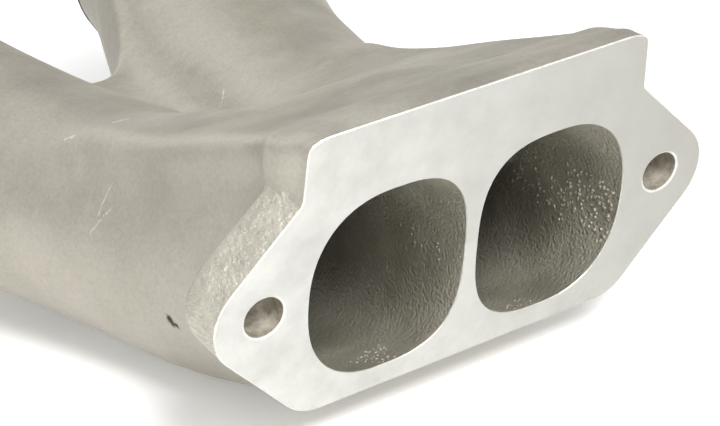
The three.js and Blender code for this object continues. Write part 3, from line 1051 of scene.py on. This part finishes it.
@dataclass(frozen=True)
class NodulePatch:
    """A stretch of bore wall where the sand core crumbled and left nodules of metal.

    Attributes:
        low: Lowest corner of the box that holds the stretch.
        high: Its highest corner.
        density: Nodules on each square millimetre.
        size: Radius of the largest ones.
        seed: Fixes their places.
    """

    low: Triple
    high: Triple
    density: float
    size: float
    seed: int

    def add_to(self, bm: bmesh.types.BMesh) -> None:
        """Scatters the nodules over the bore's faces inside the box and joins them to the casting.

        Args:
            bm: The casting.
        """
        low, high = Vector(self.low), Vector(self.high)
        walls = [face for face in bm.faces if face.material_index == Skin.BORE.value
                 and all(a < c < b for a, c, b in zip(low, face.calc_center_median(), high))]
        if not walls:
            return
        numbers = {vertex: i for i, vertex in enumerate({v for face in walls for v in face.verts})}
        stretch = bpy.data.meshes.new("nodule_wall")
        stretch.from_pydata([v.co[:] for v in numbers], [], [[numbers[v] for v in f.verts] for f in walls])
        scattered = grown("nodules", self.tree(), {
            "Density": self.density, "Size": self.size, "Seed": self.seed}, stretch)
        count = len(scattered.data.polygons)
        scattered.data.polygons.foreach_set("material_index", [Skin.BORE.value] * count)
        scattered.data.polygons.foreach_set("use_smooth", [True] * count)
        bm.from_mesh(scattered.data)
        bpy.data.objects.remove(scattered)

    def tree(self) -> bpy.types.NodeTree:
        """Makes the tree that scatters flattened beads over a surface.

        Returns:
            The tree.
        """
        tree = bpy.data.node_groups.new("core_nodules", "GeometryNodeTree")
        inputs = (("Geometry", "Geometry"), ("Density", "Float"), ("Size", "Float"), ("Seed", "Int"))
        for name, kind in inputs:
            tree.interface.new_socket(name, in_out="INPUT", socket_type=f"NodeSocket{kind}")
        tree.interface.new_socket("Geometry", in_out="OUTPUT", socket_type="NodeSocketGeometry")
        given = add_node(tree, "NodeGroupInput").outputs
        points = add_node(tree, "GeometryNodeDistributePointsOnFaces", {
            "Mesh": given["Geometry"], "Density": given["Density"], "Seed": given["Seed"]})
        bead = add_node(tree, "GeometryNodeMeshIcoSphere", {"Radius": 1.0, "Subdivisions": 2})
        chance = add_node(tree, "FunctionNodeRandomValue", {
            "Min": (0.35, 0.35, 0.25), "Max": (1.0, 1.0, 0.6), "Seed": given["Seed"]},
            data_type="FLOAT_VECTOR")
        scale = add_node(tree, "ShaderNodeVectorMath", {
            0: chance.outputs["Value"], "Scale": given["Size"]}, operation="SCALE")
        beads = add_node(tree, "GeometryNodeInstanceOnPoints", {
            "Points": points.outputs["Points"], "Instance": bead.outputs["Mesh"],
            "Rotation": points.outputs["Rotation"], "Scale": scale.outputs["Vector"]})
        realized = add_node(tree, "GeometryNodeRealizeInstances", {"Geometry": beads.outputs["Instances"]})
        skin = bpy.data.materials[CoredBore.name]
        dressed = add_node(tree, "GeometryNodeSetMaterial", {
            "Geometry": realized.outputs["Geometry"], "Material": skin})
        add_node(tree, "NodeGroupOutput", {"Geometry": dressed.outputs["Geometry"]})
        return tree


@dataclass
class Casting:
    """The one-piece aluminium body, meshed from its field and then machined flat at its three faces."""

    placing: Placing
    shape: CastingField = field(default_factory=CastingField)
    step: float = 1.25
    # Pale scratches, and in the last two rows pits whose dark colour is painted shade.
    scratches_and_painted_pit_shade: tuple[tuple[Triple, Triple, float, bool], ...] = (
        ((-31.0, 77.5, -6.5), (-28.0, 76.5, -6.0), 0.6, True),
        ((-37.5, 85.5, -13.0), (-36.5, 84.0, -11.5), 0.5, True),
        ((-29.0, 65.0, -1.5), (-17.0, 64.0, -1.0), 0.3, True),
        ((8.5, 97.5, -22.0), (6.0, 95.0, -24.0), 0.3, True),
        ((10.5, 96.0, -20.0), (5.0, 96.0, -25.0), 0.25, True),
        ((-39.5, 63.5, -10.0), (-43.0, 63.0, -16.5), 0.25, True),
        ((-44.5, 63.5, -20.5), (-41.5, 60.0, -13.0), 0.25, True),
        ((-38.0, 13.0, 20.0), (-38.0, 12.0, 18.5), 0.6, True),
        ((-43.0, 36.0, -24.5), (-43.0, 35.0, -25.0), 1.2, False),
        ((-43.0, 34.5, -25.0), (-42.5, 33.5, -25.0), 0.6, False),
    )
    nodules: tuple[NodulePatch, ...] = (
        NodulePatch((34.0, 0.8, -14.5), (37.6, 16.0, -2.5), 0.55, 0.62, 11),
        NodulePatch((34.0, 14.0, -18.0), (37.8, 38.0, -7.0), 0.28, 0.6, 12),
        NodulePatch((34.0, 0.8, 2.0), (37.6, 30.0, 15.0), 0.04, 0.35, 13),
        NodulePatch((-3.0, 6.0, -9.5), (0.0, 27.0, -4.0), 0.16, 0.5, 14),
        NodulePatch((-20.0, 1.0, -29.0), (-12.0, 11.0, -19.0), 0.45, 0.45, 15),
        NodulePatch((13.5, 1.0, -28.0), (20.0, 7.0, -19.0), 0.4, 0.4, 16),
    )
    face_chamfer: float = 0.24
    port_chamfer: float = 0.1
    hole_chamfer: float = 0.42
    skin_reach: float = 0.35
    grid_low: Triple = (-96.0, -3.1, -101.0)
    grid_high: Triple = (96.0, 198.6, 38.0)

    def build(self) -> bpy.types.Object:
        """Makes the finished casting, dressed and in place.

        Returns:
            The casting.
        """
        net = SurfaceNet(self.step, self.grid_low, self.grid_high)
        vertices, quads = net.build(self.shape.solid)
        piece = mesh_object("cast_manifold_body", vertices, quads)
        bm = bmesh.new()
        bm.from_mesh(piece.data)
        self.machine(bm, 0.0, -1.0)
        self.machine(bm, self.shape.path.length, 1.0)
        for skin in self.skins():
            piece.data.materials.append(skin.build())
        self.sort_skins(bm)
        for patch in self.nodules:
            patch.add_to(bm)
        bm.transform(self.placing.matrix)
        bm.to_mesh(piece.data)
        bm.free()
        return piece

    def skins(self) -> list[Finish]:
        """Lists the casting's finishes in the order of Skin.

        Returns:
            The finishes.
        """
        cutter = self.placing.direction((1.0, 0.0, -0.7)) * 0.16
        marks = tuple(Mark(self.placing.point(start), self.placing.point(end), width, pale)
                      for start, end, width, pale in self.scratches_and_painted_pit_shade)
        face = MilledAluminium(centre=tuple(cutter))
        # The edge finish is a painted highlight, lighter than the milled face.
        return [BlastedCasting(marks=marks), face, CoredBore(), GroundPad(), DRILLED_BORE, EDGE_PAINTED_HIGHLIGHT]

    def chamfer_at(self, place: Vector) -> float:
        """Chooses how wide the broken edge is on a machined face's outline.

        Args:
            place: Where on the outline.

        Returns:
            The width.
        """
        side, depth = abs(place.x), np.array([place.y])
        if math.hypot(side - self.shape.head.stud_x, place.z) < self.shape.head.hole_radius + 1.5:
            return self.hole_chamfer
        near_bore = self.shape.bores(np.array([place.x]), depth, np.array([place.z]))[0]
        return self.port_chamfer if abs(near_bore) < 1.0 else self.face_chamfer

    def machine(self, bm: bmesh.types.BMesh, face_y: float, facing: float) -> None:
        """Cuts the casting flat and breaks the new face's edges.

        Args:
            bm: The casting.
            face_y: Where the machined face lies.
            facing: -1 for a face that looks towards -y, 1 for one that looks towards +y.
        """
        edge_y = face_y - facing * self.face_chamfer
        everything = bm.verts[:] + bm.edges[:] + bm.faces[:]
        bmesh.ops.bisect_plane(bm, geom=everything, dist=1e-5, plane_co=(0, edge_y, 0),
                               plane_no=(0, facing, 0), clear_outer=True)
        rim = [edge for edge in bm.edges if edge.is_boundary and abs(edge.verts[0].co.y - edge_y) < 1e-3]
        for vertex in {v for edge in rim for v in edge.verts}:
            vertex.normal_update()
        inner: dict[bmesh.types.BMVert, bmesh.types.BMVert] = {}
        for vertex in {v for edge in rim for v in edge.verts}:
            outwards = Vector((vertex.normal.x, 0, vertex.normal.z)).normalized()
            width = self.chamfer_at(vertex.co)
            place = vertex.co - outwards * width
            inner[vertex] = bm.verts.new((place.x, face_y, place.z))
        caps = []
        for edge in rim:
            first, second = edge.verts
            loop = edge.link_loops[0]
            if loop.vert is first:
                first, second = second, first
            slope = bm.faces.new((first, second, inner[second], inner[first]))
            slope.material_index = Skin.EDGE.value
            edge.smooth = False
            caps.append(bm.edges.get((inner[second], inner[first])))
        filled = bmesh.ops.triangle_fill(bm, use_beauty=True, edges=caps, normal=(0, facing, 0))
        for face in filled["geom"]:
            if isinstance(face, bmesh.types.BMFace):
                face.material_index = Skin.MILLED.value
                if face.normal.y * facing < 0:
                    face.normal_flip()

    def sort_skins(self, bm: bmesh.types.BMesh) -> None:
        """Gives each face of the casting the finish of its surface, and smooths the cast ones.

        Args:
            bm: The casting.
        """
        middles = np.array([face.calc_center_median()[:] for face in bm.faces])
        x, y, z = middles.T
        head = self.shape.head
        in_bore = np.abs(self.shape.bores(x, y, z)) < self.skin_reach
        in_hole = np.abs(np.hypot(np.abs(x) - head.stud_x, z) - head.hole_radius) < self.skin_reach
        outline = polygon_distance(head.outline(), x, z)
        on_edge = (np.abs(outline) < 0.7) & (y < head.thickness - 0.3) & (np.abs(x) > 39.5) & (z > -6)
        for i, face in enumerate(bm.faces):
            face.smooth = face.material_index not in (Skin.MILLED.value, Skin.EDGE.value)
            if not face.smooth:
                continue
            if in_bore[i]:
                face.material_index = Skin.BORE.value
            elif in_hole[i] and y[i] < head.thickness + 1:
                face.material_index = Skin.DRILLED.value
            elif on_edge[i]:
                face.material_index = Skin.GROUND.value


# ---------------------------------------------------------------------------------------------------------
# Carburettor-end hardware
# ---------------------------------------------------------------------------------------------------------


def ring_mesh(name: str, section: Callable[[float], list[tuple[float, float]]],
              segments: int) -> bpy.types.Object:
    """Sweeps a closed section about the y axis.

    Args:
        name: The piece's name.
        section: Gives the radius and y of each of the section's corners at an angle.
        segments: Steps round the axis.

    Returns:
        The piece, its faces outwards.
    """
    rings = []
    for i in range(segments):
        angle = 2 * math.pi * i / segments
        rings += [(radius * math.cos(angle), y, radius * math.sin(angle)) for radius, y in section(angle)]
    count = len(rings) // segments
    faces = []
    for i in range(segments):
        here, there = i * count, ((i + 1) % segments) * count
        faces += [(here + j, there + j, there + (j + 1) % count, here + (j + 1) % count)
                  for j in range(count)]
    piece = mesh_object(name, np.array(rings), np.array(faces))
    outward(piece.data)
    return piece


def turned(name: str, profile: list[tuple[float, float]], segments: int = 48) -> bpy.types.Object:
    """Turns a closed profile of radius and y about the y axis."""
    return ring_mesh(name, lambda angle: profile, segments)


def hexagon_radius(flat: float, angle: float) -> float:
    """Returns a hexagon's radius at an angle; flat is half its width across the flats."""
    wedge = (angle + math.pi / 6) % (math.pi / 3) - math.pi / 6
    return flat / math.cos(wedge)


def finish_piece(piece: bpy.types.Object, matrix: Matrix, material: bpy.types.Material,
                 sharp: float = 35) -> None:
    """Places a mesh, gives it its material and shades it smooth.

    Args:
        piece: The piece.
        matrix: Where its mesh goes.
        material: Its material.
        sharp: The angle in degrees past which an edge stays sharp.
    """
    piece.data.transform(matrix)
    piece.data.materials.clear()
    piece.data.materials.append(material)
    piece.data.shade_smooth()
    piece.data.set_sharp_from_angle(angle=math.radians(sharp))


@dataclass
class StudThread:
    """A stud with a rolled thread, grown by a geometry tree: a core and a ridge that follows a helix."""

    radius: float = 4.0
    length: float = 39.0
    pitch: float = 1.25

    def tree(self, material: bpy.types.Material) -> bpy.types.NodeTree:
        """Makes the tree that grows the stud along z.

        Args:
            material: Its material.

        Returns:
            The tree.
        """
        tree = bpy.data.node_groups.new("stud_thread", "GeometryNodeTree")
        for name, value in (("Radius", self.radius), ("Length", self.length), ("Pitch", self.pitch)):
            socket = tree.interface.new_socket(name, in_out="INPUT", socket_type="NodeSocketFloat")
            socket.default_value = value
        tree.interface.new_socket("Geometry", in_out="OUTPUT", socket_type="NodeSocketGeometry")
        given = add_node(tree, "NodeGroupInput").outputs
        turns = add_node(tree, "ShaderNodeMath", {
            0: given["Length"], 1: given["Pitch"]}, operation="DIVIDE")
        whole = add_node(tree, "ShaderNodeMath", {0: turns.outputs[0], 1: 1.6}, operation="SUBTRACT")
        rise = add_node(tree, "ShaderNodeMath", {
            0: whole.outputs[0], 1: given["Pitch"]}, operation="MULTIPLY")
        root = add_node(tree, "ShaderNodeMath", {0: given["Radius"], 1: 0.42}, operation="SUBTRACT")
        helix = add_node(tree, "GeometryNodeCurveSpiral", {
            "Resolution": 28, "Rotations": whole.outputs[0], "Start Radius": root.outputs[0],
            "End Radius": root.outputs[0], "Height": rise.outputs[0]})
        ridge = add_node(tree, "GeometryNodeCurvePrimitiveCircle", {"Resolution": 5, "Radius": 0.4})
        thread = add_node(tree, "GeometryNodeCurveToMesh", {
            "Curve": helix.outputs["Curve"], "Profile Curve": ridge.outputs["Curve"], "Fill Caps": True})
        start = add_node(tree, "ShaderNodeCombineXYZ", {"Z": 1.0})
        lifted = add_node(tree, "GeometryNodeTransform", {
            "Geometry": thread.outputs["Mesh"], "Translation": start.outputs["Vector"]})
        core = add_node(tree, "GeometryNodeMeshCylinder", {
            "Vertices": 32, "Radius": root.outputs[0], "Depth": given["Length"]})
        half = add_node(tree, "ShaderNodeMath", {0: given["Length"], 1: 0.5}, operation="MULTIPLY")
        middle = add_node(tree, "ShaderNodeCombineXYZ", {"Z": half.outputs[0]})
        raised = add_node(tree, "GeometryNodeTransform", {
            "Geometry": core.outputs["Mesh"], "Translation": middle.outputs["Vector"]})
        joined = add_node(tree, "GeometryNodeJoinGeometry", {"Geometry": raised.outputs["Geometry"]})
        tree.links.new(lifted.outputs["Geometry"], joined.inputs["Geometry"])
        realized = add_node(tree, "GeometryNodeRealizeInstances", {"Geometry": joined.outputs["Geometry"]})
        dressed = add_node(tree, "GeometryNodeSetMaterial", {
            "Geometry": realized.outputs["Geometry"], "Material": material})
        add_node(tree, "NodeGroupOutput", {"Geometry": dressed.outputs["Geometry"]})
        return tree

    def build(self, name: str, material: bpy.types.Material) -> bpy.types.Object:
        """Returns the stud as a plain mesh along the y axis, its lower end at y = 0."""
        sizes = {"Radius": self.radius, "Length": self.length, "Pitch": self.pitch}
        return grown(name, self.tree(material), sizes)


def grown(name: str, tree: bpy.types.NodeTree, values: dict[str, Any],
          seed_mesh: bpy.types.Mesh | None = None) -> bpy.types.Object:
    """Runs a geometry tree once and keeps its result as a plain mesh.

    Args:
        name: The piece's name.
        tree: The geometry tree.
        values: Its inputs, by name.
        seed_mesh: What the tree starts from, if anything.

    Returns:
        The piece, with no modifier left on it.
    """
    source = bpy.data.objects.new(name + "_source", seed_mesh or bpy.data.meshes.new(name + "_seed"))
    bpy.context.scene.collection.objects.link(source)
    modifier = source.modifiers.new("grow", "NODES")
    modifier.node_group = tree
    sockets = {item.name: item.identifier for item in tree.interface.items_tree if item.in_out == "INPUT"}
    for key, value in values.items():
        modifier[sockets[key]] = value
    evaluated = source.evaluated_get(bpy.context.evaluated_depsgraph_get())
    mesh = bpy.data.meshes.new_from_object(evaluated)
    bpy.data.objects.remove(source)
    piece = bpy.data.objects.new(name, mesh)
    bpy.context.scene.collection.objects.link(piece)
    return piece


@dataclass
class CarbEnd:
    """Everything that is fastened to the two carburettor pads and the hose bosses."""

    placing: Placing
    shape: CastingField = field(default_factory=CastingField)
    clearance: float = 0.3
    gasket: float = 1.0
    washer: float = 1.6
    spring: float = 2.0
    nut: float = 6.5
    across_flats: float = 13.0

    def build(self) -> list[tuple[bpy.types.Object, str, str]]:
        """Makes everything on the two pads and the two bosses.

        Returns:
            Each piece with the CAD node it stands for and its material slot.
        """
        steel, zinc, dark = STUD_STEEL.build(), ZINC_PLATE.build(), SPRING_STEEL.build()
        fibre, brass = FIBRE_GASKET.build(), TURNED_BRASS.build()
        made = []
        for side in Side:
            for level in Level:
                tail = f"{side.name.lower()}_{level.name.lower()}"
                at = self.at_stud(side, level)
                for kind, maker, material, slot in (
                    ("carb_stud", self.stud, steel, "stud_steel"),
                    ("plain_washer", self.plain_washer, zinc, "zinc_plated_steel"),
                    ("spring_washer", self.spring_washer, dark, "spring_steel"),
                    ("stud_nut", self.hex_nut, zinc, "zinc_plated_steel"),
                ):
                    piece = maker(f"fitted_{kind}_{tail}", material)
                    finish_piece(piece, at, material)
                    made.append((piece, f"{kind}_{tail}", slot))
            word = side.name.lower()
            gasket = self.flange_gasket(f"fitted_gasket_{word}")
            finish_piece(gasket, self.at_pad(side), fibre)
            made.append((gasket, f"carb_gasket_{word}", "gasket_fibre"))
            barb = self.hose_barb(f"fitted_hose_barb_{word}")
            finish_piece(barb, self.at_boss(side), brass)
            made.append((barb, f"hose_barb_{word}", "brass"))
        return made

    def at_pad(self, side: Side) -> Matrix:
        """Returns where the middle of a carburettor pad's face is."""
        place = (side.value * self.shape.carb.x, self.shape.path.length, self.shape.carb.z)
        return self.placing.matrix @ Matrix.Translation(place)

    def at_stud(self, side: Side, level: Level) -> Matrix:
        """Returns where a carburettor stud leaves its pad."""
        return self.at_pad(side) @ Matrix.Translation((0, 0, level.value * self.shape.carb.stud_offset))

    def at_boss(self, side: Side) -> Matrix:
        """Finds the top of a hose boss, with y turned to point up out of it.

        Args:
            side: Which runner it belongs to.

        Returns:
            The matrix.
        """
        boss = self.shape.boss
        place = Matrix.Translation((side.value * boss.x, boss.y, boss.top))
        return self.placing.matrix @ place @ Matrix.Rotation(math.pi / 2, 4, "X")

    def washer_base(self) -> float:
        """Returns where the plain washer sits above the pad."""
        return self.gasket + 2 * self.clearance

    def spring_base(self) -> float:
        """Returns where the spring washer sits above the pad."""
        return self.washer_base() + self.washer + self.clearance

    def nut_base(self) -> float:
        """Returns where the nut sits above the pad."""
        return self.spring_base() + self.spring + self.clearance

    def stud(self, name: str, material: bpy.types.Material) -> bpy.types.Object:
        """Makes a threaded stud, screwed through the pad.

        Args:
            name: The piece's name.
            material: Its material.

        Returns:
            The piece.
        """
        piece = StudThread().build(name, material)
        turn = Matrix.Rotation(-math.pi / 2, 4, "X")
        piece.data.transform(Matrix.Translation((0, 1 - self.shape.carb.thickness, 0)) @ turn)
        return piece

    def plain_washer(self, name: str, _: bpy.types.Material) -> bpy.types.Object:
        """Makes a punched washer with one soft edge, as punching leaves it.

        Args:
            name: The piece's name.
            _: Not used here; the caller dresses the piece.

        Returns:
            The piece.
        """
        low, high = self.washer_base(), self.washer_base() + self.washer
        inner, outer, soft = 4.3, 8.0, 0.35
        return turned(name, [
            (inner, low), (outer - 0.1, low), (outer, low + 0.1), (outer, high - soft),
            (outer - 0.1, high - soft * 0.4), (outer - soft, high), (inner + 0.2, high),
            (inner, high - 0.2)])

    def spring_washer(self, name: str, _: bpy.types.Material) -> bpy.types.Object:
        """Makes a split washer with its ends sprung apart.

        Args:
            name: The piece's name.
            _: Not used here; the caller dresses the piece.

        Returns:
            The piece.
        """
        inner, outer, rise, gap, steps = 4.35, 7.4, 0.35, 0.16, 48
        base = self.spring_base()
        points = []
        for i in range(steps + 1):
            angle = gap + (2 * math.pi - 2 * gap) * i / steps
            lift = base + rise * (1 - i / steps)
            high = self.spring - rise
            for radius, y in ((inner, 0), (outer, 0), (outer, high), (inner, high)):
                points.append((radius * math.cos(angle), lift + y, radius * math.sin(angle)))
        faces: list[tuple[int, ...]] = [(0, 1, 2, 3), tuple(4 * steps + i for i in (3, 2, 1, 0))]
        faces += [(4 * i + j, 4 * i + (j + 1) % 4, 4 * i + 4 + (j + 1) % 4, 4 * i + 4 + j)
                  for i in range(steps) for j in range(4)]
        piece = mesh_object(name, np.array(points), faces)
        outward(piece.data)
        return piece

    def hex_nut(self, name: str, _: bpy.types.Material) -> bpy.types.Object:
        """Makes a hexagon nut whose corners are cut back by a cone, top and bottom.

        Args:
            name: The piece's name.
            _: Not used here; the caller dresses the piece.

        Returns:
            The piece.
        """
        hole, lead = 4.3, 0.5
        flat = self.across_flats / 2
        cone = flat * 0.95
        base, top = self.nut_base(), self.nut_base() + self.nut

        def section(angle: float) -> list[tuple[float, float]]:
            """Draws the nut's closed section.

            Args:
                angle: Where round the nut.

            Returns:
                The radius and y of each corner.
            """
            corner = hexagon_radius(flat, angle)
            cut = (corner - cone) * math.tan(math.radians(30))
            return [(hole, base + lead), (hole + lead, base), (cone, base), (corner, base + cut),
                    (corner, top - cut), (cone, top), (hole + lead, top), (hole, top - lead)]

        return ring_mesh(name, section, 72)

    def flange_gasket(self, name: str) -> bpy.types.Object:
        """Makes a gasket cut to the pad's outline, with its bore and stud holes.

        Args:
            name: The piece's name.

        Returns:
            The piece.
        """
        pad = self.shape.carb
        lean = math.asin((pad.radius - pad.ear_radius) / pad.stud_offset)
        arcs = [(0.0, pad.radius, -lean, lean), (pad.stud_offset, pad.ear_radius, lean, math.pi - lean),
                (0.0, pad.radius, math.pi - lean, math.pi + lean),
                (-pad.stud_offset, pad.ear_radius, math.pi + lean, 2 * math.pi - lean)]
        outer = [(radius * math.cos(a), z + radius * math.sin(a))
                 for z, radius, start, end in arcs for a in np.linspace(start, end, 18, endpoint=False)]
        bm = bmesh.new()
        loops = [outer]
        for z, radius in ((0.0, pad.bore + 0.5), (pad.stud_offset, 4.7), (-pad.stud_offset, 4.7)):
            loops.append([(radius * math.cos(a), z + radius * math.sin(a))
                          for a in np.linspace(0, 2 * math.pi, 56, endpoint=False)])
        edges = []
        for loop in loops:
            ring = [bm.verts.new((x, self.clearance, z)) for x, z in loop]
            edges += [bm.edges.new((a, b)) for a, b in zip(ring, ring[1:] + ring[:1])]
        sheet = bmesh.ops.triangle_fill(bm, use_beauty=True, edges=edges, normal=(0, -1, 0))["geom"]
        faces = [part for part in sheet if isinstance(part, bmesh.types.BMFace)]
        raised = bmesh.ops.extrude_face_region(bm, geom=faces)["geom"]
        for vertex in (part for part in raised if isinstance(part, bmesh.types.BMVert)):
            vertex.co.y += self.gasket
        bmesh.ops.recalc_face_normals(bm, faces=bm.faces)
        mesh = bpy.data.meshes.new(name)
        bm.to_mesh(mesh)
        bm.free()
        piece = bpy.data.objects.new(name, mesh)
        bpy.context.scene.collection.objects.link(piece)
        return piece

    def hose_barb(self, name: str) -> bpy.types.Object:
        """Makes a brass fitting: a shank in the boss, a hexagon and a barbed tail.

        Args:
            name: The piece's name.

        Returns:
            The piece.
        """
        piece = turned(name, [
            (2, -7), (5, -7), (5, 0.3), (5.5, 0.3), (5.5, 6), (3.6, 6), (3.6, 12), (4.4, 12.4), (3.6, 15),
            (4.4, 15.4), (3.6, 18), (4.4, 18.4), (3.4, 21.5), (2, 21.5)], 40)
        flat, low, high, inner = 6.05, 0.35, 5.25, 5.2
        cone = flat * 0.96

        def section(angle: float) -> list[tuple[float, float]]:
            """Draws the hexagon collar's closed section.

            Args:
                angle: Where round the collar.

            Returns:
                The radius and y of each corner.
            """
            corner = hexagon_radius(flat, angle)
            cut = (corner - cone) * 0.58
            return [(inner, low), (cone, low), (corner, low + cut), (corner, high - cut),
                    (cone, high), (inner, high)]

        collar = ring_mesh(name + "_collar", section, 48)
        bm = bmesh.new()
        bm.from_mesh(piece.data)
        bm.from_mesh(collar.data)
        bm.to_mesh(piece.data)
        bm.free()
        bpy.data.objects.remove(collar)
        return piece


# ---------------------------------------------------------------------------------------------------------
# The stage
# ---------------------------------------------------------------------------------------------------------


@dataclass(frozen=True)
class Softbox:
    """A square area light.

    Attributes:
        name: Its name.
        place: Where it stands, in metres.
        target: What it points at.
        size: Its side.
        power: Its power in watts.
    """

    name: str
    place: Triple
    target: Triple
    size: float
    power: float

    def build(self) -> None:
        """Makes the light and links it to the scene."""
        data = bpy.data.lights.new(self.name, "AREA")
        data.shape = "SQUARE"
        data.size = self.size
        data.energy = self.power
        lamp = bpy.data.objects.new(self.name, data)
        lamp.location = self.place
        view = Vector(self.target) - Vector(self.place)
        lamp.rotation_euler = view.to_track_quat("-Z", "Y").to_euler()
        bpy.context.scene.collection.objects.link(lamp)


@dataclass
class Stage:
    """The pale floor, the soft lights and the camera."""

    placing: Placing
    lens: float = 123.7
    camera_at: Triple = (-245.0, -285.7, 261.2)
    camera_right: Triple = (0.816, -0.576, 0.056)
    camera_up: Triple = (0.288, 0.488, 0.824)
    floor_half: float = 2.5
    softboxes: tuple[Softbox, ...] = (
        Softbox("key_softbox", (-0.9, -0.35, 0.3), (0.0, 0.08, 0.0), 0.9, 0.5),
        Softbox("port_softbox", (-0.12, -0.72, 0.62), (0.0, 0.0, 0.0), 0.35, 15.5),
        Softbox("back_softbox", (-0.15, 1.1, 0.62), (0.0, 0.1, 0.0), 0.7, 2.8),
    )

    def build(self, floor_z: float) -> bpy.types.Object:
        """Builds the lights, the camera and the floor.

        Args:
            floor_z: The height of the floor.

        Returns:
            The floor.
        """
        self.camera()
        self.world()
        for softbox in self.softboxes:
            softbox.build()
        size = self.floor_half
        corners = np.array([(x, y, floor_z) for x, y in (
            (-size, -size), (size, -size), (size, size), (-size, size))])
        floor = mesh_object("studio_floor", corners, np.array([(0, 1, 2, 3)]))
        floor.data.materials.append(LightTable().build())
        return floor

    def camera(self) -> None:
        """Places the camera at the viewpoint that shows both ports and the near runner's outside."""
        right = self.placing.direction(self.camera_right)
        up = self.placing.direction(self.camera_up)
        up = (up - right * up.dot(right)).normalized()
        turn = Matrix((right, up, right.cross(up))).transposed()
        data = bpy.data.cameras.new("camera")
        data.lens = self.lens
        data.sensor_width = 36.0
        data.clip_start = 0.01
        camera = bpy.data.objects.new("camera", data)
        camera.matrix_world = Matrix.Translation(self.placing.point(self.camera_at)) @ turn.to_4x4()
        bpy.context.scene.collection.objects.link(camera)
        bpy.context.scene.camera = camera

    def world(self) -> None:
        """Surrounds the part with walls that are near white in front and darken overhead and behind."""
        world = bpy.data.worlds.new("studio")
        world.use_nodes = True
        tree = world.node_tree
        tree.nodes.clear()
        sky = add_node(tree, "ShaderNodeTexCoord").outputs["Generated"]
        behind = add_node(tree, "ShaderNodeVectorMath", {
            0: sky, 1: (0.62, 0.45, 0.64)}, operation="DOT_PRODUCT")
        shade = add_node(tree, "ShaderNodeMapRange", {
            "Value": behind.outputs["Value"], "From Min": 0.1, "From Max": 0.95,
            "To Min": 0.62, "To Max": 0.5})
        back = add_node(tree, "ShaderNodeBackground", {
            "Color": linear("#ffffff"), "Strength": shade.outputs["Result"]})
        add_node(tree, "ShaderNodeOutputWorld", {"Surface": back.outputs["Background"]})
        bpy.context.scene.world = world
        bpy.context.scene.view_settings.view_transform = "Standard"


def main() -> None:
    """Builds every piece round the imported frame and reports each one."""
    logging.basicConfig(level=logging.INFO, format="%(message)s")
    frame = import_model()
    cad_box = [list(corner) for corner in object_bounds()]
    placing = Placing.from_record(frame["record"])
    floor = Stage(placing).build(cad_box[0][2])

    body = Casting(placing).build()
    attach(body, "root")
    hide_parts("manifold_casting")
    LOG.info("%s: %d faces", body.name, len(body.data.polygons))

    for piece, node, slot in CarbEnd(placing).build():
        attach(piece, "root")
        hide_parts(node)
        LOG.info("%s: %d faces", piece.name, len(piece.data.polygons))


if __name__ == "__main__":
    main()
